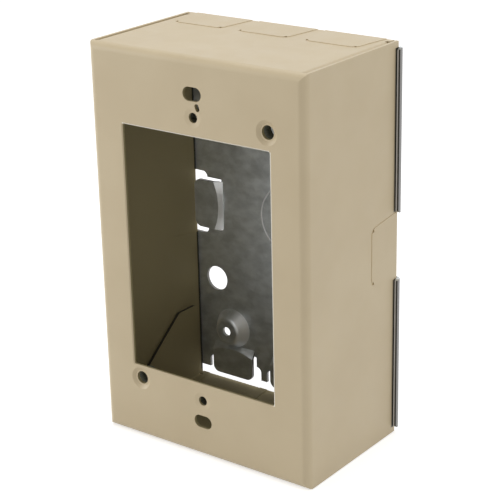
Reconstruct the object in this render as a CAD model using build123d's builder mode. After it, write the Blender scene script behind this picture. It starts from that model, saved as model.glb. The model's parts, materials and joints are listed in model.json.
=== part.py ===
from build123d import *
import os

# Surface device box: a folded steel cover that holds one wiring device, on a galvanised base plate.
# Millimetres, +Z up, the open face towards -Y. The origin is the middle of the footprint, level with
# the raised twist-outs of the bottom wall, on which the box stands as it does on a bench.

# Folded cover, outside sizes
BOX_WIDTH = 73.025
BOX_HEIGHT = 117.475
WALL_DEPTH = 44.45
SHEET = 0.95
FACE_BEND = 2.3

# Device opening: its distance from the box's sides and ends. The punched pattern sits a little
# above the box's middle
OPENING_SIDE_BORDER = 11.4
OPENING_END_BORDER = 22.4
OPENING_CORNER = 0.6
OPENING_EDGE_BREAK = 0.3
PATTERN_RISE = 0.5

# Holes above and below the opening, measured from its ends. The device screws come 83.3 apart
DEVICE_SCREW_BEYOND = 5.33
DEVICE_SCREW_HOLE = 2.85
DEVICE_DIMPLE = 5.5
DEVICE_DIMPLE_DEPTH = 0.25
SLOT_BEYOND = 11.85
SLOT_WIDTH = 6.2
SLOT_HEIGHT = 3.9
KEY_HOLE_BEYOND = 8.3
KEY_HOLE_ASIDE = 1.65
KEY_HOLE_WIDTH = 1.4
KEY_HOLE_HEIGHT = 2.2
KEY_HOLE_LEAN = 18.0

# Two cover screws, upper right and lower left, go through the face into the base plate's bosses
UPPER_SCREW_FROM_SIDE = 12.2
UPPER_SCREW_FROM_END = 16.9
LOWER_SCREW_FROM_SIDE = 13.8
LOWER_SCREW_FROM_END = 18.85
COVER_SCREW_HOLE = 3.9
COVER_DIMPLE = 6.8
COVER_DIMPLE_FLOOR = 4.8
COVER_DIMPLE_DEPTH = 0.7

# Corner seams: the top and bottom walls turn inwards there as flaps behind the side walls
SEAM_BEND = 1.5
SEAM_GAP = 0.12
SEAM_SLOT = 0.4
SEAM_START = 2.5
SEAM_RELIEF = 1.1
SEAM_NOTCH = 1.2
FLAP_HEIGHT = 25.2
FLAP_TOP_LENGTH = 8.75
FLAP_REAR_GAP = 3.2
FLAP_CORNER = 1.5

# Twist-outs: panels half sheared outwards, with punch marks at their front corners
TWIST_WIDTH = 16.8
TWIST_FLARE = 1.6
TWIST_DEPTH = 13.0
TWIST_CORNER = 2.4
TWIST_RISE = 0.15
TWIST_PITCH = 22.7
PUNCH_MARK = 0.8
PUNCH_DEPTH = 0.4
PUNCH_ASIDE = 7.8
PUNCH_FORWARD = 12.3

# Base plate: a shallow tray whose side lips stand outside the cover's side walls
LIP_CLEARANCE = 0.3
LIP_RISE = 1.15
LIP_END_GAP = 1.75
LIP_CORNER = 0.8
PLATE_END_GAP = 3.45

# Tongues that hold the end of a raceway
TONGUE_RISE = 1.5
TONGUE_WIDTH = 15.3
TONGUE_LENGTH = 9.8
TONGUE_CORNER = 2.2
TONGUE_PITCH = 22.2
RAMP_SIDE = 2.5
RAMP_MIDDLE = 0.8
SIDE_TONGUE_INSET = 11.2
END_TONGUE_INSET = 12.9
SIDE_SLIT_START = 0.5
END_SLIT_START = 2.0
SLIT_WIDTH = 0.65
NOTCH_WIDTH = 20.0
NOTCH_CORNER = 1.7
SIDE_NOTCH_START = 5.9
END_NOTCH_START = 5.2

# Knockout, wall fixing holes and screw bosses of the base plate
KNOCKOUT = 22.2
KNOCKOUT_GROOVE = 0.5
KNOCKOUT_GROOVE_DEPTH = 0.55
WALL_HOLE = 7.8
WALL_HOLE_FROM_SIDE = 8.0
WALL_HOLE_FROM_END = 34.35
BOSS_BASE = 12.6
BOSS_TOP = 8.0
BOSS_ROUND = 1.5
BOSS_HEIGHT = 3.5
BOSS_HOLE = 2.9

# Places worked out from the sizes above
FACE_Y = -(WALL_DEPTH + SHEET) / 2
REAR_Y = FACE_Y + WALL_DEPTH
BOTTOM_Z = TWIST_RISE
MID_Z = BOTTOM_Z + BOX_HEIGHT / 2
TOP_Z = BOTTOM_Z + BOX_HEIGHT
PATTERN_Z = MID_Z + PATTERN_RISE
OPENING_WIDTH = BOX_WIDTH - 2 * OPENING_SIDE_BORDER
OPENING_HEIGHT = BOX_HEIGHT - 2 * OPENING_END_BORDER
COVER_SCREWS = [
    (BOX_WIDTH / 2 - UPPER_SCREW_FROM_SIDE, BOX_HEIGHT / 2 - UPPER_SCREW_FROM_END),
    (LOWER_SCREW_FROM_SIDE - BOX_WIDTH / 2, LOWER_SCREW_FROM_END - BOX_HEIGHT / 2),
]
WALL_INSIDE_X = BOX_WIDTH / 2 - SHEET
FLAP_OUTSIDE_X = WALL_INSIDE_X - SEAM_GAP
BEND_START_X = FLAP_OUTSIDE_X - SEAM_BEND
FLAP_REAR_END = WALL_DEPTH - FLAP_REAR_GAP
LIP_BEND = LIP_CLEARANCE + SHEET
LIP_OUTSIDE_X = BOX_WIDTH / 2 + LIP_BEND

# Ways for a raceway at the top and at the bottom: as many as fit between the corner bends
WAY_COUNT = 1 + int((2 * (BEND_START_X - TWIST_FLARE) - TWIST_WIDTH) // TWIST_PITCH)

# Planes that look at the box from outside: the face, its punched pattern, the base plate's front,
# and each wall from its rear edge, with the sketch's own Y towards the rear
face_plane = Plane(origin=(0, FACE_Y, MID_Z), x_dir=(1, 0, 0), z_dir=(0, -1, 0))
pattern_plane = Plane(origin=(0, FACE_Y, PATTERN_Z), x_dir=(1, 0, 0), z_dir=(0, -1, 0))
plate_plane = Plane(origin=(0, REAR_Y, MID_Z), x_dir=(1, 0, 0), z_dir=(0, -1, 0))
top_plane = Plane(origin=(0, REAR_Y, TOP_Z), x_dir=(1, 0, 0), z_dir=(0, 0, 1))
bottom_plane = Plane(origin=(0, REAR_Y, BOTTOM_Z), x_dir=(-1, 0, 0), z_dir=(0, 0, -1))
right_plane = Plane(origin=(BOX_WIDTH / 2, REAR_Y, MID_Z), x_dir=(0, 0, -1), z_dir=(1, 0, 0))
left_plane = Plane(origin=(-BOX_WIDTH / 2, REAR_Y, MID_Z), x_dir=(0, 0, 1), z_dir=(-1, 0, 0))
mirror_height = Plane(origin=(0, 0, MID_Z), z_dir=(0, 0, 1))


def way_places(pitch):
    """The middles of the ways along the top or bottom wall."""
    return [(place - (WAY_COUNT - 1) / 2) * pitch for place in range(WAY_COUNT)]


def twist_out_panel(wall, across):
    """One twist-out seen square on, from its rounded front corners to the wall's rear edge."""
    half = TWIST_WIDTH / 2
    with BuildSketch(wall) as panel:
        with BuildLine():
            Polyline(
                (across - half - TWIST_FLARE, 0),
                (across - half, -TWIST_DEPTH),
                (across + half, -TWIST_DEPTH),
                (across + half + TWIST_FLARE, 0),
                close=True,
            )
        make_face()
        fillet(panel.vertices().group_by(Axis.Y)[0], TWIST_CORNER)
    return panel.sketch


def punch_marks(wall, across):
    """Square punch marks at the two front corners of a twist-out."""
    with BuildSketch(wall) as marks:
        with Locations((across - PUNCH_ASIDE, -PUNCH_FORWARD), (across + PUNCH_ASIDE, -PUNCH_FORWARD)):
            Rectangle(PUNCH_MARK, PUNCH_MARK)
    return marks.sketch


def tongue_outline(plane, root_side, root_middle):
    """A tongue seen square on, its root line bulging back from the sides to the middle."""
    half = TONGUE_WIDTH / 2
    with BuildSketch(plane) as outline:
        with BuildLine():
            Polyline((root_side, -half), (TONGUE_LENGTH, -half), (TONGUE_LENGTH, half), (root_side, half))
            if root_side == root_middle:
                Line((root_side, half), (root_side, -half))
            else:
                ThreePointArc((root_side, half), (root_middle, 0), (root_side, -half))
        make_face()
        fillet(outline.vertices().group_by(Axis.X)[-1], TONGUE_CORNER)
    return outline.sketch


def tongue_sections(plane, ramp_middle):
    """The foot of a raised tongue on a plane, and its flat top one rise in front of it."""
    return [
        tongue_outline(plane, 0, 0),
        tongue_outline(plane.offset(TONGUE_RISE), RAMP_SIDE, ramp_middle),
    ]


def tongue_clearance(plane, slit_start, notch_start, reach):
    """The sheet cut away round a tongue: a slot as wide as both slits, then a notch out to the edge."""
    slot_length = notch_start + NOTCH_CORNER - slit_start
    notch_length = reach + NOTCH_CORNER - notch_start
    with BuildSketch(plane) as clearance:
        with Locations((slit_start + slot_length / 2, 0)):
            Rectangle(slot_length, TONGUE_WIDTH + 2 * SLIT_WIDTH)
        with Locations((notch_start + notch_length / 2, 0)):
            RectangleRounded(notch_length, NOTCH_WIDTH, NOTCH_CORNER)
    return clearance.sketch


# Tongue places: origin on the tongue's root line, with the plane's own X towards its tip
side_roots = [
    Plane(
        origin=(side * (BOX_WIDTH / 2 - SIDE_TONGUE_INSET), REAR_Y, MID_Z),
        x_dir=(side, 0, 0),
        z_dir=(0, -1, 0),
    )
    for side in (-1, 1)
]
end_roots = [
    Plane(
        origin=(across, REAR_Y, MID_Z + end * (BOX_HEIGHT / 2 - END_TONGUE_INSET)),
        x_dir=(0, 0, end),
        z_dir=(0, -1, 0),
    )
    for end in (-1, 1)
    for across in way_places(TONGUE_PITCH)
]

# One corner flap of the cover, the lower right one: the bottom wall's end turned up and inwards
with BuildPart() as corner_flap:
    with BuildSketch(Plane(origin=(0, FACE_Y + SEAM_START, BOTTOM_Z), x_dir=(1, 0, 0), z_dir=(0, -1, 0))):
        with BuildLine():
            Line((BEND_START_X, 0), (BEND_START_X, SHEET))
            inner = JernArc((BEND_START_X, SHEET), (1, 0), SEAM_BEND - SHEET, 90)
            outer = JernArc((BEND_START_X, 0), (1, 0), SEAM_BEND, 90)
            Polyline(inner @ 1, (FLAP_OUTSIDE_X - SHEET, FLAP_HEIGHT), (FLAP_OUTSIDE_X, FLAP_HEIGHT), outer @ 1)
        make_face()
    extrude(amount=-(FLAP_REAR_END - SEAM_START))
    with BuildSketch(Plane(origin=(0, FACE_Y, BOTTOM_Z), x_dir=(0, 1, 0), z_dir=(1, 0, 0))) as side_view:
        with BuildLine():
            Polyline(
                (SEAM_START, 0),
                (SEAM_START, SEAM_BEND),
                (FLAP_REAR_END - FLAP_TOP_LENGTH, FLAP_HEIGHT),
                (FLAP_REAR_END, FLAP_HEIGHT),
                (FLAP_REAR_END, 0),
                close=True,
            )
        make_face()
        fillet(side_view.vertices().group_by(Axis.Y)[-1], FLAP_CORNER)
    extrude(amount=BOX_WIDTH / 2, mode=Mode.INTERSECT)

# Cover: one folded sheet, open at the rear
with BuildPart() as box_cover:
    with BuildSketch(face_plane):
        Rectangle(BOX_WIDTH, BOX_HEIGHT)
    extrude(amount=-WALL_DEPTH)
    fillet(box_cover.faces().sort_by(Axis.Y)[0].edges(), FACE_BEND)
    offset(amount=-SHEET, openings=box_cover.faces().sort_by(Axis.Y)[-1])

    # The walls part at the four seams. Each seam starts at a round relief, is wide where the flap
    # bends in, and ends as a narrow slot behind the flap
    bend_length = FLAP_REAR_END + SEAM_NOTCH - SEAM_START
    with BuildSketch(Plane.XY.offset(BOTTOM_Z)) as seams:
        for side in (-1, 1):
            with Locations((side * (BEND_START_X + WALL_INSIDE_X) / 2, FACE_Y + SEAM_START + bend_length / 2)):
                Rectangle(WALL_INSIDE_X - BEND_START_X, bend_length)
            with Locations((side * (WALL_INSIDE_X - SEAM_SLOT / 2), REAR_Y - FLAP_REAR_GAP / 2)):
                Rectangle(SEAM_SLOT, FLAP_REAR_GAP)
            with Locations((side * (WALL_INSIDE_X - SEAM_RELIEF / 2), FACE_Y + SEAM_START)):
                Circle(SEAM_RELIEF / 2)
    extrude(seams.sketch, amount=SHEET, mode=Mode.SUBTRACT)
    extrude(seams.sketch.moved(Location((0, 0, BOX_HEIGHT))), amount=-SHEET, mode=Mode.SUBTRACT)
    for flap in (corner_flap.part, corner_flap.part.mirror(mirror_height)):
        add(flap)
        add(flap.mirror(Plane.YZ))

    # Device opening, whose outer edge is broken by a narrow chamfer
    with BuildSketch(pattern_plane):
        RectangleRounded(OPENING_WIDTH, OPENING_HEIGHT, OPENING_CORNER)
    extrude(amount=-SHEET, mode=Mode.SUBTRACT)
    opening_edge = box_cover.faces().sort_by(Axis.Y)[0].inner_wires()[0].edges()
    chamfer(opening_edge, OPENING_EDGE_BREAK)

    # Slots and holes in line above and below the opening
    with BuildSketch(pattern_plane):
        with GridLocations(0, OPENING_HEIGHT + 2 * SLOT_BEYOND, 1, 2):
            SlotOverall(SLOT_WIDTH, SLOT_HEIGHT)
        with Locations((KEY_HOLE_ASIDE, OPENING_HEIGHT / 2 + KEY_HOLE_BEYOND)):
            SlotOverall(KEY_HOLE_HEIGHT, KEY_HOLE_WIDTH, rotation=90 + KEY_HOLE_LEAN)
    extrude(amount=-SHEET, mode=Mode.SUBTRACT)
    with Locations(pattern_plane):
        with GridLocations(0, OPENING_HEIGHT + 2 * DEVICE_SCREW_BEYOND, 1, 2):
            with Locations((0, 0, -DEVICE_DIMPLE_DEPTH / 2)):
                Cone(DEVICE_SCREW_HOLE / 2, DEVICE_DIMPLE / 2, DEVICE_DIMPLE_DEPTH, mode=Mode.SUBTRACT)
            Hole(DEVICE_SCREW_HOLE / 2, SHEET)

    # Pressed dimples for the cover screws: the sheet keeps its thickness as it dips inwards
    with Locations(face_plane):
        with Locations(*COVER_SCREWS):
            with Locations((0, 0, -SHEET - COVER_DIMPLE_DEPTH / 2)):
                Cone(COVER_DIMPLE_FLOOR / 2, COVER_DIMPLE / 2, COVER_DIMPLE_DEPTH)
            with Locations((0, 0, -COVER_DIMPLE_DEPTH / 2)):
                Cone(COVER_DIMPLE_FLOOR / 2, COVER_DIMPLE / 2, COVER_DIMPLE_DEPTH, mode=Mode.SUBTRACT)
            Hole(COVER_SCREW_HOLE / 2, SHEET + COVER_DIMPLE_DEPTH)

    # Twist-outs: a row in the top and bottom walls, one in each side wall. The sheet keeps its
    # thickness where a panel stands proud
    row = way_places(TWIST_PITCH)
    for wall, places in ((top_plane, row), (bottom_plane, row), (right_plane, [0]), (left_plane, [0])):
        for across in places:
            extrude(twist_out_panel(wall, across), amount=TWIST_RISE)
            extrude(twist_out_panel(wall.offset(-SHEET), across), amount=TWIST_RISE, mode=Mode.SUBTRACT)
            extrude(punch_marks(wall.offset(TWIST_RISE), across), amount=-PUNCH_DEPTH, mode=Mode.SUBTRACT)

# The raised form of one screw boss, a blunt cone with a rounded top, standing on its own XY plane
with BuildPart() as screw_boss:
    with Locations((0, 0, BOSS_HEIGHT / 2)):
        Cone(BOSS_BASE / 2, BOSS_TOP / 2, BOSS_HEIGHT)
    fillet(screw_boss.edges().group_by(Axis.Z)[-1], BOSS_ROUND)

# Base plate: a shallow folded tray
with BuildPart() as base_plate:
    middle_x = LIP_OUTSIDE_X - SHEET / 2
    lip_front_y = REAR_Y - LIP_RISE
    middle_y = REAR_Y + SHEET / 2
    with BuildSketch(Plane.XY.offset(BOTTOM_Z + LIP_END_GAP)):
        with BuildLine(mode=Mode.PRIVATE) as section:
            FilletPolyline(
                (-middle_x, lip_front_y),
                (-middle_x, middle_y),
                (middle_x, middle_y),
                (middle_x, lip_front_y),
                radius=LIP_BEND - SHEET / 2,
            )
        trace(section.line, line_width=SHEET)
    extrude(amount=BOX_HEIGHT - 2 * LIP_END_GAP)

    # Between its lips the plate stops short of the cover's top and bottom walls
    end_strip = PLATE_END_GAP - LIP_END_GAP
    with BuildSketch(plate_plane):
        with GridLocations(0, BOX_HEIGHT - 2 * LIP_END_GAP - end_strip, 1, 2):
            Rectangle(BOX_WIDTH, end_strip)
        with GridLocations(BOX_WIDTH - 2 * WALL_HOLE_FROM_SIDE, BOX_HEIGHT - 2 * WALL_HOLE_FROM_END, 2, 2):
            Circle(WALL_HOLE / 2)
    extrude(amount=-SHEET, mode=Mode.SUBTRACT)

    # Openings round the tongues
    cut_depth = SHEET + LIP_RISE
    side_clearances = [
        tongue_clearance(root, SIDE_SLIT_START, SIDE_NOTCH_START, SIDE_TONGUE_INSET + LIP_BEND)
        for root in side_roots
    ]
    end_clearances = [
        tongue_clearance(root, END_SLIT_START, END_NOTCH_START, END_TONGUE_INSET) for root in end_roots
    ]
    for clearance in side_clearances + end_clearances:
        extrude(clearance, amount=cut_depth, both=True, mode=Mode.SUBTRACT)
    lip_ends = base_plate.edges().filter_by(Axis.X).group_by(Axis.Y)[0]
    fillet(lip_ends, LIP_CORNER)

    # Tongues and screw bosses are drawn forward out of the sheet: each raised form is added in
    # front, and a form with a plain ramp or a plain cone is then cleared one sheet further back
    for root in side_roots + end_roots:
        loft(tongue_sections(root, RAMP_MIDDLE), ruled=True)
    with Locations(plate_plane):
        with Locations(*COVER_SCREWS):
            add(screw_boss.part)
    for root in side_roots + end_roots:
        loft(tongue_sections(root.offset(-SHEET), RAMP_SIDE), ruled=True, mode=Mode.SUBTRACT)
    with Locations(plate_plane.offset(BOSS_HEIGHT / 2 - SHEET)):
        with Locations(*COVER_SCREWS):
            Cone(BOSS_BASE / 2, BOSS_TOP / 2, BOSS_HEIGHT, mode=Mode.SUBTRACT)
    with Locations(plate_plane.offset(BOSS_HEIGHT)):
        with Locations(*COVER_SCREWS):
            Hole(BOSS_HOLE / 2, SHEET)

    # Knockout in the middle, held by the thin web left under its groove
    with BuildSketch(Plane(origin=(0, REAR_Y, MID_Z), x_dir=(1, 0, 0), z_dir=(0, 0, 1))):
        with BuildLine():
            Polyline(
                (KNOCKOUT / 2, 0),
                (KNOCKOUT / 2 - KNOCKOUT_GROOVE, KNOCKOUT_GROOVE_DEPTH),
                (KNOCKOUT / 2 - KNOCKOUT_GROOVE, 0),
                close=True,
            )
        make_face()
    revolve(axis=Axis((0, REAR_Y, MID_Z), (0, 1, 0)), mode=Mode.SUBTRACT)

box_cover.part.label = "box_cover"
base_plate.part.label = "base_plate"

os.makedirs("parts", exist_ok=True)
export_step(box_cover.part, "parts/box_cover.step")
export_step(base_plate.part, "parts/base_plate.step")
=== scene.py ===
import bmesh
import bpy
import json
from math import ceil, cos, pi, radians, sin
from mathutils import Matrix, Vector


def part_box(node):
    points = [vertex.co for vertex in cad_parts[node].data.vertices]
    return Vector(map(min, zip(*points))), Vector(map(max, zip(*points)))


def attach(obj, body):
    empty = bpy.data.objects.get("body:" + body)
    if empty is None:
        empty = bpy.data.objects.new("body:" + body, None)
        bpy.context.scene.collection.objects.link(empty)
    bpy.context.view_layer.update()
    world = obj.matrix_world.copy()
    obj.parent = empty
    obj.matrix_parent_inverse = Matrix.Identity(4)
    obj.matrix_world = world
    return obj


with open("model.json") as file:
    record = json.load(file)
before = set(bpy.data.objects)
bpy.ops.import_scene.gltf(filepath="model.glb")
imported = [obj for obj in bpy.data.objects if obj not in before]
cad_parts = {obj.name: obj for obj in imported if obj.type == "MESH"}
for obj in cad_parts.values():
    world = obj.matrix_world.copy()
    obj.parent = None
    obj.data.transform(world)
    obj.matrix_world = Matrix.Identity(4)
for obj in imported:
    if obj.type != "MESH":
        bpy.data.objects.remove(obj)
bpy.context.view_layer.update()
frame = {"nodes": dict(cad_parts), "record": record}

# Lengths are in metres
MM = 0.001

# Camera, as fitted to the corners of the box in the photograph. Blender takes the lens and the
# sensor in millimetres
CAMERA_AZIMUTH = radians(37.15)
CAMERA_ELEVATION = radians(20.53)
CAMERA_ROLL = radians(-1.31)
CAMERA_DISTANCE = 432.3 * MM
CAMERA_ASIDE = (-14.41 * MM, -4.51 * MM)
AIM_HEIGHT = 58.85 * MM
CAMERA_LENS = 113.2
SENSOR = 36.0

# Lights, set by the tones of the photograph
SKY_LEVEL = 0.48
TOP_POWER = 1.9
TOP_SIZE = 0.6
TOP_PLACE = Vector((-0.05, 0.12, 0.75))
LEFT_POWER = 1.75
LEFT_SIZE = 0.4
LEFT_PLACE = Vector((-0.60, -0.32, 0.25))
SIDE_POWER = 0.65
SIDE_SIZE = 0.4
SIDE_PLACE = Vector((0.65, 0.05, 0.30))

# The floor lies a hair below the lowest twist-outs
FLOOR_SIZE = 3.0
FLOOR_BELOW = 0.02 * MM
FLOOR_TONE = (0.80, 0.80, 0.80, 1.0)
FLOOR_ROUGHNESS = 0.9
FLOOR_GLOW = 0.55

# The whole range of a share, a stretch that is even, and the usual detail of a noise
WHOLE = (0.0, 1.0)
EVEN = (1.0, 1.0, 1.0)
NOISE_DETAIL = 2.0

# Enamel: its colours, the painted shade inside, and how deep behind the outer faces that begins
IVORY = (0.60, 0.49, 0.315, 1.0)
IVORY_LIGHT = (0.63, 0.52, 0.34, 1.0)
INSIDE_SHADE = (0.34, 0.285, 0.155, 1.0)
INSIDE_DEPTH = 0.75 * MM
CUT_DEPTH = 0.05 * MM
BEND_INSET = 3.2 * MM
STEEP = 0.5
DRIFT_SIZE = 22 * MM
DRIFT_DETAIL = 3.0
DRIFT_RANGE = (0.35, 0.65)
PEEL_SIZE = 0.9 * MM
PEEL_HEIGHT = 0.012 * MM
GLOSS_SIZE = 6 * MM
GLOSS_RANGE = (0.3, 0.7)
ENAMEL_ROUGHNESS = (0.36, 0.46)
INSIDE_ROUGHNESS = 0.65
ENAMEL_SPECULAR = 0.5
INSIDE_SPECULAR = 0.2

# Painted shadow on the flaps' cut edges, for the dark gap between flap and wall. The edges lie
# between these distances from the middle of the box
FLAP_GAP_SHADE = (0.05, 0.045, 0.03, 1.0)
FLAP_INNER = 34.40 * MM
FLAP_OUTER = 35.40 * MM

# A bright line on the face along the opening's right and top edges
EDGE_GLINT = (0.92, 0.87, 0.76, 1.0)
OPENING_RIGHT = 25.11 * MM
OPENING_TOP = 95.72 * MM
OPENING_BOTTOM = 23.05 * MM
GLINT_DEPTH = 0.5 * MM
RIGHT_GLINT_WIDTH = 0.45 * MM
TOP_GLINT_WIDTH = 0.36 * MM

# Zinc: crystals, soft clouds and fine rolling lines, with colours of its own on the rear
ZINC = (0.56, 0.59, 0.60, 1.0)
ZINC_LIGHT = (0.81, 0.85, 0.865, 1.0)
REAR_ZINC = (0.30, 0.305, 0.305, 1.0)
REAR_ZINC_LIGHT = (0.42, 0.425, 0.42, 1.0)
CRYSTAL_SIZE = 2.4 * MM
CRYSTAL_SHARE = 0.35
CLOUD_SIZE = 4.5 * MM
CLOUD_DETAIL = 3.0
CLOUD_STRETCH = (1.0, 1.0, 1.6)
CLOUD_RANGE = (0.36, 0.64)
ROLLING_SIZE = 0.25 * MM
ROLLING_STRETCH = (1.0, 1.0, 0.04)
ROLLING_HEIGHT = 0.006 * MM
ZINC_ROUGHNESS = (0.36, 0.44)
ZINC_METALLIC = 0.65

# Painted shade: the plate's inner side darkens towards its upper end, a guess for its dark look
# through the slots
DIM_RANGE = (88 * MM, 100 * MM)
DIM_SHARE = 0.55

# Slopes on the plate's inner side are lightened, the more so the further they lean sideways:
# partly burnished, partly a painted highlight for the light they catch
BURNISHED_SHEEN = (0.97, 0.98, 0.98, 1.0)
BURNISHED_ROUGHNESS = 0.55
LEAN_RANGE = (0.08, 0.5)
LEAN_START = LEAN_RANGE[0]

# Bare walls of the plate's holes and slits. The knockout lies within its reach of the plate's middle
CUT_WALL = (0.17, 0.165, 0.155, 1.0)
CUT_WALL_FACING = 0.1
KNOCKOUT_REACH = 12 * MM

# The base plate's lips: where they begin, as a distance from the box's middle, and where the
# burnished part of their sheared front edge gives way to the fractured part, whose near black is
# partly its own tone and partly painted shade
SHEARED = (0.62, 0.61, 0.59, 1.0)
FRACTURE_AND_SHADE = (0.025, 0.023, 0.02, 1.0)
LIP_OUTSIDE = (0.34, 0.335, 0.325, 1.0)
LIP_ROUGHNESS = 0.6
LIP_EDGE_START = 36.7 * MM
LIP_EDGE_MIDDLE = 37.2 * MM
LIP_EDGE_BLEND = 0.06 * MM
FLAT_FACING = 0.9

# Painted shade on the side walls: a contact shadow beside the lips outside, and shade in the
# rear corner inside
PAINTED_SHADE = (0.03, 0.028, 0.02, 1.0)
LIP_SHADOW_START = 2.4 * MM
LIP_SHADOW_END = 1.3 * MM
LIP_SHADOW_FALL = 2.0
CORNER_SHADE = 1.0 * MM
LIP_GAP_HALF = 10.2 * MM
LIP_END = 1.9 * MM

# The CAD's own sizes of the cover's sheet, twist-outs and cover screw holes
SHEET = 0.95 * MM
TWIST_RISE = 0.15 * MM
COVER_SCREW_HOLE = 3.9 * MM
COVER_DIMPLE_DEPTH = 0.7 * MM
UPPER_SCREW_FROM_SIDE = 12.2 * MM
UPPER_SCREW_FROM_END = 16.9 * MM
LOWER_SCREW_FROM_SIDE = 13.8 * MM
LOWER_SCREW_FROM_END = 18.85 * MM

# Collars behind the face's four screw holes, a guess at what is hidden. Each starts sunk into the
# sheet, and its bore is a hair wider than the hole
COVER_COLLAR_LENGTH = 3.2 * MM
DEVICE_COLLAR_LENGTH = 2.2 * MM
COLLAR_WALL = 0.35 * MM
COLLAR_FLARE = 0.1 * MM
COLLAR_RIM = 0.12 * MM
COLLAR_SINK = 0.05 * MM
COLLAR_SLACK = 0.005 * MM
COLLAR_SIDES = 48
ARC_STEPS = 4
MERGE_DISTANCE = 0.001 * MM

# Thread in the device screws' collars
THREAD_PITCH = 0.794 * MM
THREAD_DEPTH = 0.3 * MM
THREAD_RUN_OUT = THREAD_PITCH / 4

# The collars' steel, dark as painted shade inside the screw holes
BORE_SHADE = (0.065, 0.068, 0.048, 1.0)
BORE_SHADE_LIGHT = (0.14, 0.14, 0.10, 1.0)
STREAK_SIZE = 0.5 * MM
STREAK_STRETCH = (1.0, 0.25, 1.0)
STREAK_RANGE = (0.35, 0.65)
STREAK_HEIGHT = 0.01 * MM
STREAK_ROUGHNESS = (0.5, 0.65)


def link(tree, source, target):
    """Join the output socket source to the input socket target."""
    tree.links.new(source, target)


def new_material(name):
    """A node material: returns the material, its tree and its principled shader."""
    material = bpy.data.materials.new(name)
    material.use_nodes = True
    tree = material.node_tree
    return material, tree, tree.nodes["Principled BSDF"]


def object_noise(tree, size, detail=NOISE_DETAIL, stretch=EVEN):
    """A noise whose cells are about size metres wide on the object."""
    coordinates = tree.nodes.new("ShaderNodeTexCoord")
    mapping = tree.nodes.new("ShaderNodeMapping")
    mapping.inputs["Scale"].default_value = stretch
    noise = tree.nodes.new("ShaderNodeTexNoise")
    noise.inputs["Scale"].default_value = 1.0 / size
    noise.inputs["Detail"].default_value = detail
    link(tree, coordinates.outputs["Object"], mapping.inputs["Vector"])
    link(tree, mapping.outputs["Vector"], noise.inputs["Vector"])
    return noise.outputs["Fac"]


def object_crystals(tree, size):
    """Random tones from 0 to 1, one to each cell of about size metres on the object."""
    coordinates = tree.nodes.new("ShaderNodeTexCoord")
    crystals = tree.nodes.new("ShaderNodeTexVoronoi")
    crystals.inputs["Scale"].default_value = 1.0 / size
    link(tree, coordinates.outputs["Object"], crystals.inputs["Vector"])
    return remap(tree, crystals.outputs["Color"])


def remap(tree, value, source=WHOLE, target=WHOLE):
    """The value taken from the range source to the range target, and kept within it."""
    node = tree.nodes.new("ShaderNodeMapRange")
    names = ("From Min", "From Max", "To Min", "To Max")
    for name, number in zip(names, source + target):
        node.inputs[name].default_value = number
    link(tree, value, node.inputs["Value"])
    return node.outputs["Result"]


def mix_colour(tree, share, first, second):
    """Two colours, or colour sockets, mixed by a share."""
    node = tree.nodes.new("ShaderNodeMix")
    node.data_type = "RGBA"
    link(tree, share, node.inputs["Factor"])
    colour_inputs = [socket for socket in node.inputs if socket.type == "RGBA"]
    for socket, colour in zip(colour_inputs, (first, second)):
        if isinstance(colour, tuple):
            socket.default_value = colour
        else:
            link(tree, colour, socket)
    return next(socket for socket in node.outputs if socket.type == "RGBA")


def bump(tree, height, distance):
    """A bump whose full height is distance metres."""
    node = tree.nodes.new("ShaderNodeBump")
    node.inputs["Strength"].default_value = 1.0
    node.inputs["Distance"].default_value = distance
    link(tree, height, node.inputs["Height"])
    return node.outputs["Normal"]


def calculate(tree, operation, first, second=None):
    """A sum on one or two values, each a number or a socket."""
    node = tree.nodes.new("ShaderNodeMath")
    node.operation = operation
    for socket, value in zip(node.inputs, (first, second)):
        if isinstance(value, (int, float)):
            socket.default_value = value
        elif value is not None:
            link(tree, value, socket)
    return node.outputs[0]


def product(tree, first, *others):
    """All the values multiplied."""
    for other in others:
        first = calculate(tree, "MULTIPLY", first, other)
    return first


def magnitude(tree, value):
    """The value without its sign."""
    return calculate(tree, "ABSOLUTE", value)


def larger(tree, first, second):
    """The larger of two values."""
    return calculate(tree, "MAXIMUM", first, second)


def above(tree, value, limit):
    """1 where the value is above the limit, else 0."""
    return calculate(tree, "GREATER_THAN", value, limit)


def below(tree, value, limit):
    """1 where the value is below the limit, else 0."""
    return calculate(tree, "LESS_THAN", value, limit)


def between(tree, value, first, last):
    """1 where the value lies between first and last, else 0."""
    return product(tree, above(tree, value, first), below(tree, value, last))


def surface_place(tree):
    """The object coordinates X, Y and Z, and the same parts of the surface's normal."""
    coordinates = tree.nodes.new("ShaderNodeTexCoord")
    place = tree.nodes.new("ShaderNodeSeparateXYZ")
    link(tree, coordinates.outputs["Object"], place.inputs[0])
    facing = tree.nodes.new("ShaderNodeSeparateXYZ")
    link(tree, coordinates.outputs["Normal"], facing.inputs[0])
    return place.outputs, facing.outputs


def level_from_middle(tree, place, low, high):
    """The height above or below the middle of the box."""
    return magnitude(tree, calculate(tree, "SUBTRACT", place["Z"], (low.z + high.z) / 2))


def behind_face(tree, place, low, high, depth, inset):
    """1 deeper than depth behind the face and further than inset from the four outer walls, else 0."""
    return product(
        tree,
        above(tree, place["Y"], low.y + depth),
        between(tree, place["X"], low.x + inset, high.x - inset),
        between(tree, place["Z"], low.z + inset, high.z - inset),
    )


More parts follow.
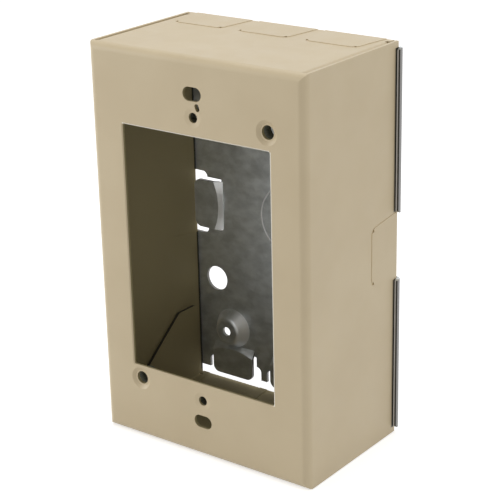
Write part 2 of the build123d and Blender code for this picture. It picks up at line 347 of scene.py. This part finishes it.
def opening_glint(tree, place, low):
    """1 on the narrow bright bands along the opening's right and top edges, else 0."""
    right_band = product(
        tree,
        between(tree, place["X"], OPENING_RIGHT, OPENING_RIGHT + RIGHT_GLINT_WIDTH),
        between(tree, place["Z"], OPENING_BOTTOM, OPENING_TOP),
    )
    top_band = product(
        tree,
        between(tree, place["Z"], OPENING_TOP, OPENING_TOP + TOP_GLINT_WIDTH),
        between(tree, place["X"], -OPENING_RIGHT, OPENING_RIGHT),
    )
    on_face = below(tree, place["Y"], low.y + GLINT_DEPTH)
    return product(tree, on_face, larger(tree, right_band, top_band))


def ivory_paint(low, high):
    """Baked ivory enamel over folded steel: a fine orange peel, a slight drift, painted shade inside."""
    material, tree, shader = new_material("ivory_paint")
    place, facing = surface_place(tree)
    across = magnitude(tree, place["X"])
    drift = remap(tree, object_noise(tree, DRIFT_SIZE, DRIFT_DETAIL), DRIFT_RANGE)
    coat = mix_colour(tree, drift, IVORY, IVORY_LIGHT)
    coat = mix_colour(tree, opening_glint(tree, place, low), coat, EDGE_GLINT)

    # Painted shade: a darker colour on inside surfaces and the walls of the punched holes
    inside = behind_face(tree, place, low, high, INSIDE_DEPTH, INSIDE_DEPTH)
    steep = below(tree, magnitude(tree, facing["Y"]), STEEP)
    cut = product(tree, steep, behind_face(tree, place, low, high, CUT_DEPTH, BEND_INSET))
    inside = larger(tree, inside, cut)
    coat = mix_colour(tree, inside, coat, INSIDE_SHADE)

    # Painted shadow on the cut edges of the four flaps, for the dark gap between flap and wall
    flap_shade = product(
        tree,
        below(tree, magnitude(tree, facing["X"]), STEEP),
        between(tree, across, FLAP_INNER, FLAP_OUTER),
        behind_face(tree, place, low, high, BEND_INSET, INSIDE_DEPTH),
        between(tree, place["Z"], low.z + BEND_INSET, high.z - BEND_INSET),
    )
    coat = mix_colour(tree, flap_shade, coat, FLAP_GAP_SHADE)

    # Painted contact shadow in the narrow gap between the side walls and the base plate's lips
    level = level_from_middle(tree, place, low, high)
    beside_lip = between(tree, level, LIP_GAP_HALF, (high.z - low.z) / 2 - LIP_END)
    outer_wall = above(tree, across, high.x - INSIDE_DEPTH)
    lip_shadow = remap(tree, place["Y"], (high.y - LIP_SHADOW_START, high.y - LIP_SHADOW_END))
    lip_shadow = product(tree, calculate(tree, "POWER", lip_shadow, LIP_SHADOW_FALL), outer_wall, beside_lip)
    coat = mix_colour(tree, lip_shadow, coat, PAINTED_SHADE)

    # Painted shade in the corner between the side walls' inside and the base plate
    rear = remap(tree, place["Y"], (high.y - CORNER_SHADE, high.y - CORNER_SHADE / 2))
    corner = product(tree, inside, rear, beside_lip, above(tree, across, FLAP_OUTER))
    coat = mix_colour(tree, corner, coat, PAINTED_SHADE)
    link(tree, coat, shader.inputs["Base Color"])

    peel = object_noise(tree, PEEL_SIZE)
    link(tree, bump(tree, peel, PEEL_HEIGHT), shader.inputs["Normal"])
    rough = remap(tree, object_noise(tree, GLOSS_SIZE), GLOSS_RANGE, ENAMEL_ROUGHNESS)
    rough = larger(tree, rough, remap(tree, inside, WHOLE, (0.0, INSIDE_ROUGHNESS)))
    link(tree, rough, shader.inputs["Roughness"])
    specular = remap(tree, inside, WHOLE, (ENAMEL_SPECULAR, INSIDE_SPECULAR))
    link(tree, specular, shader.inputs["Specular IOR Level"])
    return material


def shaded_bore_steel():
    """The collars' steel: streaked and dull, and dark as painted shade inside the screw holes."""
    material, tree, shader = new_material("shaded_bore_steel")
    streaks = object_noise(tree, STREAK_SIZE, stretch=STREAK_STRETCH)
    streaks = remap(tree, streaks, STREAK_RANGE)
    link(tree, mix_colour(tree, streaks, BORE_SHADE, BORE_SHADE_LIGHT), shader.inputs["Base Color"])
    link(tree, bump(tree, streaks, STREAK_HEIGHT), shader.inputs["Normal"])
    link(tree, remap(tree, streaks, WHOLE, STREAK_ROUGHNESS), shader.inputs["Roughness"])
    return material


def zinc_sheet(low, high):
    """Galvanised sheet: dull zinc with crystals, clouds, fine rolling lines and sheared edges."""
    material, tree, shader = new_material("zinc_sheet")
    place, facing = surface_place(tree)
    across = magnitude(tree, place["X"])
    crystals = object_crystals(tree, CRYSTAL_SIZE)
    cloud = object_noise(tree, CLOUD_SIZE, CLOUD_DETAIL, CLOUD_STRETCH)
    cloud = remap(tree, cloud, CLOUD_RANGE)
    tone = calculate(
        tree,
        "ADD",
        product(tree, crystals, CRYSTAL_SHARE),
        product(tree, cloud, 1 - CRYSTAL_SHARE),
    )
    sheet = mix_colour(tree, tone, ZINC, ZINC_LIGHT)

    # The side towards the wall is duller and shows the crystals alone
    rear = above(tree, facing["Y"], FLAT_FACING)
    sheet = mix_colour(tree, rear, sheet, mix_colour(tree, crystals, REAR_ZINC, REAR_ZINC_LIGHT))

    # Painted shade on the inner side towards the upper end
    dim = remap(tree, place["Z"], DIM_RANGE, (0.0, DIM_SHARE))
    sheet = mix_colour(tree, product(tree, dim, below(tree, facing["Y"], 0.0)), sheet, PAINTED_SHADE)

    # Ramps, bosses and the sloping wall of the knockout's groove, lightened: partly burnished, partly a
    # painted highlight
    lean = remap(tree, magnitude(tree, facing["X"]), LEAN_RANGE)
    burnish_sheen = product(tree, lean, below(tree, facing["Y"], -LEAN_START))
    sheet = mix_colour(tree, burnish_sheen, sheet, BURNISHED_SHEEN)

    # Bare walls of the holes and slits, but not of the knockout's groove
    level = level_from_middle(tree, place, low, high)
    walls = product(
        tree,
        below(tree, magnitude(tree, facing["Y"]), CUT_WALL_FACING),
        below(tree, across, LIP_EDGE_START),
        above(tree, larger(tree, across, level), KNOCKOUT_REACH),
    )
    sheet = mix_colour(tree, walls, sheet, CUT_WALL)

    # The lips' outer sides and their sheared front edges. The fractured part's near black is partly
    # its own tone and partly painted shade
    on_lip = above(tree, across, LIP_EDGE_START)
    lip_side = product(tree, above(tree, magnitude(tree, facing["X"]), FLAT_FACING), on_lip)
    lip_front = product(tree, below(tree, facing["Y"], -FLAT_FACING), on_lip)
    torn = remap(tree, across, (LIP_EDGE_MIDDLE - LIP_EDGE_BLEND, LIP_EDGE_MIDDLE + LIP_EDGE_BLEND))
    sheet = mix_colour(tree, lip_side, sheet, LIP_OUTSIDE)
    sheet = mix_colour(tree, lip_front, sheet, mix_colour(tree, torn, SHEARED, FRACTURE_AND_SHADE))
    link(tree, sheet, shader.inputs["Base Color"])

    lines = object_noise(tree, ROLLING_SIZE, stretch=ROLLING_STRETCH)
    link(tree, bump(tree, lines, ROLLING_HEIGHT), shader.inputs["Normal"])
    dull = larger(tree, lip_front, lip_side)
    rough = remap(tree, crystals, WHOLE, ZINC_ROUGHNESS)
    rough = larger(tree, rough, remap(tree, burnish_sheen, WHOLE, (0.0, BURNISHED_ROUGHNESS)))
    rough = larger(tree, rough, remap(tree, dull, WHOLE, (0.0, LIP_ROUGHNESS)))
    link(tree, rough, shader.inputs["Roughness"])
    link(tree, remap(tree, dull, WHOLE, (ZINC_METALLIC, 0.0)), shader.inputs["Metallic"])
    return material


def quarter_arc(centre, radius, start):
    """Points (radius, depth) of a quarter circle about centre, from the angle start."""
    angles = [start + pi / 2 * step / ARC_STEPS for step in range(ARC_STEPS + 1)]
    return [(centre[0] + radius * cos(angle), centre[1] + radius * sin(angle)) for angle in angles]


def thread_points(turn, bore, bore_end):
    """The thread's points (radius, depth), from the rim inwards, at a share of a turn."""
    points = []
    for step in range(2 * ceil(bore_end / THREAD_PITCH) + 2, -1, -1):
        depth = min(max((step / 2 - 1 + turn) * THREAD_PITCH, 0.0), bore_end)
        fade = min(1.0, depth / THREAD_RUN_OUT, (bore_end - depth) / THREAD_RUN_OUT)
        groove = THREAD_DEPTH * fade if step % 2 else 0.0
        points.append((bore + groove, depth))
    return points


def collar_section(turn, bore, length, threaded):
    """The points (radius, depth) round a collar's section at a share of a turn about its axis."""
    outside = bore + COLLAR_WALL + (THREAD_DEPTH if threaded else 0.0)
    bore_end = length - COLLAR_RIM
    flare = quarter_arc((outside + COLLAR_FLARE, COLLAR_FLARE), COLLAR_FLARE, pi)
    outer_rim = quarter_arc((outside - COLLAR_RIM, bore_end), COLLAR_RIM, 0.0)
    inner_rim = quarter_arc((bore + COLLAR_RIM, bore_end), COLLAR_RIM, pi / 2)
    thread = thread_points(turn, bore, bore_end) if threaded else []
    return flare[::-1] + outer_rim + inner_rim + thread + [(bore, 0.0)]


def collar_mesh(name, centre, hole, length, threaded):
    """A closed collar about the Y axis through centre, the middle of the hole's rear rim."""
    shape = bmesh.new()
    columns = []
    for side in range(COLLAR_SIDES + 1):
        turn = side / COLLAR_SIDES
        angle = 2 * pi * turn
        section = collar_section(turn, hole / 2 + COLLAR_SLACK, length + COLLAR_SINK, threaded)
        columns.append([
            shape.verts.new(centre + Vector((radius * cos(angle), depth - COLLAR_SINK, radius * sin(angle))))
            for radius, depth in section
        ])
    for one, other in zip(columns, columns[1:]):
        for point in range(len(one)):
            shape.faces.new((one[point - 1], one[point], other[point], other[point - 1]))
    bmesh.ops.remove_doubles(shape, verts=shape.verts, dist=MERGE_DISTANCE)
    bmesh.ops.recalc_face_normals(shape, faces=shape.faces)
    mesh = bpy.data.meshes.new(name)
    shape.to_mesh(mesh)
    shape.free()
    mesh.shade_smooth()
    return mesh


def add_collar(name, centre, hole, length, finish, threaded=False):
    """A collar that rides with the box."""
    mesh = collar_mesh(name, centre, hole, length, threaded)
    mesh.materials.append(finish)
    collar = bpy.data.objects.new(name, mesh)
    bpy.context.scene.collection.objects.link(collar)
    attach(collar, "root")


def add_collars(low, high, finish):
    """The four collars behind the face, at the places of the CAD's screw holes."""
    rear = low.y + SHEET
    mount = next(mount for mount in frame["record"]["mounts"] if mount["name"] == "device_screws")
    device_x, _, device_z = mount["pos_m"]
    half_spacing = mount["dims"]["spacing_y_mm"] * MM / 2
    device_hole = 2 * mount["dims"]["hole_r_mm"] * MM
    for name, rise in (("device_collar_upper", half_spacing), ("device_collar_lower", -half_spacing)):
        centre = Vector((device_x, rear, device_z + rise))
        add_collar(name, centre, device_hole, DEVICE_COLLAR_LENGTH, finish, threaded=True)
    upper = (high.x - TWIST_RISE - UPPER_SCREW_FROM_SIDE, high.z - TWIST_RISE - UPPER_SCREW_FROM_END)
    lower = (low.x + TWIST_RISE + LOWER_SCREW_FROM_SIDE, low.z + TWIST_RISE + LOWER_SCREW_FROM_END)
    for name, (x, z) in (("cover_collar_upper", upper), ("cover_collar_lower", lower)):
        centre = Vector((x, rear + COVER_DIMPLE_DEPTH, z))
        add_collar(name, centre, COVER_SCREW_HOLE, COVER_COLLAR_LENGTH, finish)


def direct_ray(tree):
    """1 for a camera, glossy or transmission ray, 0 for the rest."""
    rays = tree.nodes.new("ShaderNodeLightPath").outputs
    seen = larger(tree, rays["Is Camera Ray"], rays["Is Glossy Ray"])
    return larger(tree, seen, rays["Is Transmission Ray"])


def add_sky():
    """A white surround, which lights the object at a lower level than it shows."""
    world = bpy.data.worlds.new("sky")
    bpy.context.scene.world = world
    world.use_nodes = True
    tree = world.node_tree
    tree.nodes.clear()
    mix = tree.nodes.new("ShaderNodeMixShader")
    link(tree, direct_ray(tree), mix.inputs[0])
    for socket, level in ((mix.inputs[1], SKY_LEVEL), (mix.inputs[2], 1.0)):
        background = tree.nodes.new("ShaderNodeBackground")
        background.inputs["Color"].default_value = (1, 1, 1, 1)
        background.inputs["Strength"].default_value = level
        link(tree, background.outputs[0], socket)
    out = tree.nodes.new("ShaderNodeOutputWorld")
    link(tree, mix.outputs[0], out.inputs["Surface"])


def add_floor(level):
    """A pale floor that shows white where it is lit and keeps the object's shadow."""
    bpy.ops.mesh.primitive_plane_add(size=FLOOR_SIZE, location=(0, 0, level))
    floor = bpy.context.object
    floor.name = "floor"
    material, tree, shader = new_material("floor_pale")
    shader.inputs["Base Color"].default_value = FLOOR_TONE
    shader.inputs["Roughness"].default_value = FLOOR_ROUGHNESS
    glow = tree.nodes.new("ShaderNodeEmission")
    glow.inputs["Strength"].default_value = FLOOR_GLOW
    both = tree.nodes.new("ShaderNodeAddShader")
    mix = tree.nodes.new("ShaderNodeMixShader")
    link(tree, shader.outputs[0], both.inputs[0])
    link(tree, glow.outputs[0], both.inputs[1])
    link(tree, direct_ray(tree), mix.inputs[0])
    link(tree, shader.outputs[0], mix.inputs[1])
    link(tree, both.outputs[0], mix.inputs[2])
    link(tree, mix.outputs[0], tree.nodes["Material Output"].inputs["Surface"])
    floor.data.materials.append(material)


def add_lamp(name, place, target, size, power):
    """A square soft lamp at place that faces target."""
    data = bpy.data.lights.new(name, "AREA")
    data.shape = "SQUARE"
    data.size = size
    data.energy = power
    lamp = bpy.data.objects.new(name, data)
    lamp.location = place
    lamp.rotation_euler = (place - target).to_track_quat("Z", "Y").to_euler()
    bpy.context.scene.collection.objects.link(lamp)


def look_matrix(centre):
    """The camera's place and turn: azimuth from the face towards the right wall, elevation and roll."""
    back = Vector((
        sin(CAMERA_AZIMUTH) * cos(CAMERA_ELEVATION),
        -cos(CAMERA_AZIMUTH) * cos(CAMERA_ELEVATION),
        sin(CAMERA_ELEVATION),
    ))
    level_right = Vector((0, 0, 1)).cross(back).normalized()
    level_up = back.cross(level_right)
    right = cos(CAMERA_ROLL) * level_right + sin(CAMERA_ROLL) * level_up
    up = -sin(CAMERA_ROLL) * level_right + cos(CAMERA_ROLL) * level_up
    place = centre + CAMERA_DISTANCE * back - CAMERA_ASIDE[0] * right - CAMERA_ASIDE[1] * up
    return Matrix.Translation(place) @ Matrix((right, up, back)).transposed().to_4x4()


def add_camera(centre):
    """The photograph's camera."""
    data = bpy.data.cameras.new("camera")
    data.lens = CAMERA_LENS
    data.sensor_width = SENSOR
    camera = bpy.data.objects.new("camera", data)
    camera.matrix_world = look_matrix(centre)
    bpy.context.scene.collection.objects.link(camera)
    bpy.context.scene.camera = camera


low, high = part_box("box_cover")
middle = (low + high) / 2

finishes = {"box_cover": ivory_paint(low, high), "base_plate": zinc_sheet(low, high)}
for node, finish in finishes.items():
    for slot in frame["nodes"][node].material_slots:
        slot.material = finish
add_collars(low, high, shaded_bore_steel())

add_camera(Vector((0, low.y, AIM_HEIGHT)))
add_sky()
add_floor(low.z - FLOOR_BELOW)
add_lamp("top", TOP_PLACE, middle, TOP_SIZE, TOP_POWER)
add_lamp("left", LEFT_PLACE, middle, LEFT_SIZE, LEFT_POWER)
add_lamp("side", SIDE_PLACE, middle, SIDE_SIZE, SIDE_POWER)
bpy.context.scene.view_settings.view_transform = "Standard"
